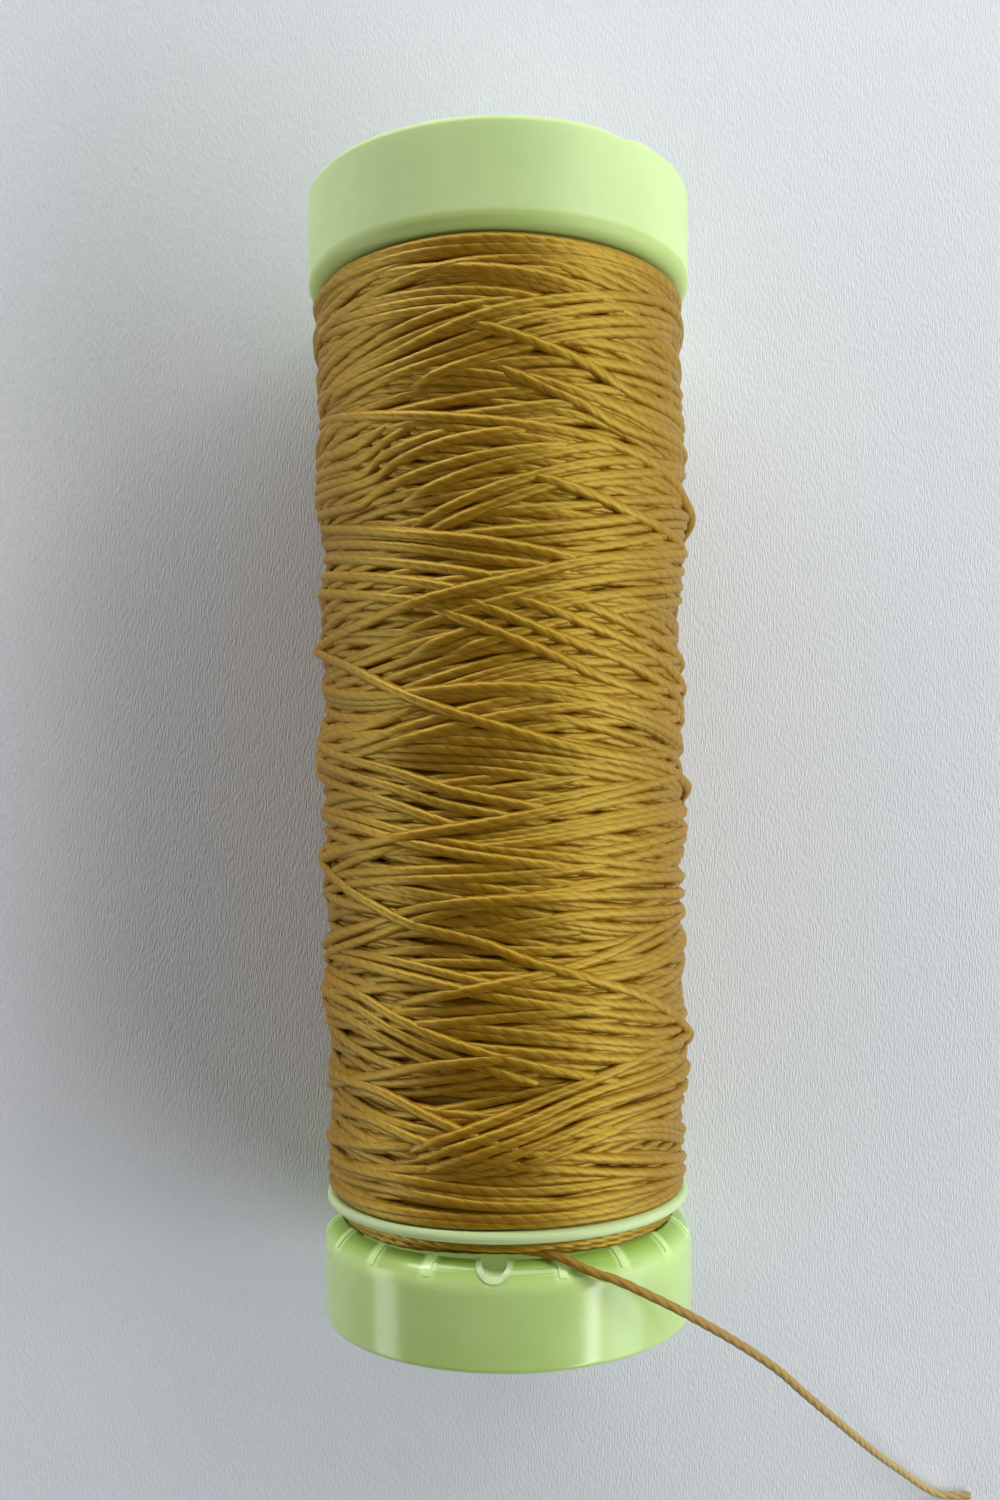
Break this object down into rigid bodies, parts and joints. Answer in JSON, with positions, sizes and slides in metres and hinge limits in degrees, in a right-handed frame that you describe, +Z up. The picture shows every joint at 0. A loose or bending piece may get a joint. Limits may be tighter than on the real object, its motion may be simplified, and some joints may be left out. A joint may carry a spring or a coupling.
{
  "type": "spool of thread",
  "caption": "Snap spool wound with thick sewing thread, lying on its side, with the thread's end held by a base that slides out to free it.",
  "frame": {"origin": "on the surface that the spool lies on, under the middle of its axis", "axes": "+Y along the spool's axis from the snap base to the collar, +Z up from the surface, +X to the side that the thread's free end leaves to"},
  "size_m": [0.0389, 0.0753, 0.02],
  "materials": {
    "green_plastic": "moulded pale lime green, satin sheen",
    "thread_deep": "wound thread under the outer layer, in shade",
    "thread": "twisted three-ply mustard thread, soft sheen"
  },
  "bodies": {
    "spool": {"spool_body": "green_plastic", "thread_package": "thread_deep", "thread_outer_layer": "thread", "locked_turns": "thread", "thread_tail": "thread"},
    "base": {"snap_base": "green_plastic"}
  },
  "joints": [
    {"name": "base_slide", "type": "slide", "parent": "spool", "child": "base", "axis": [0, -1, 0], "range_m": [0, 0.0016]}
  ]
}
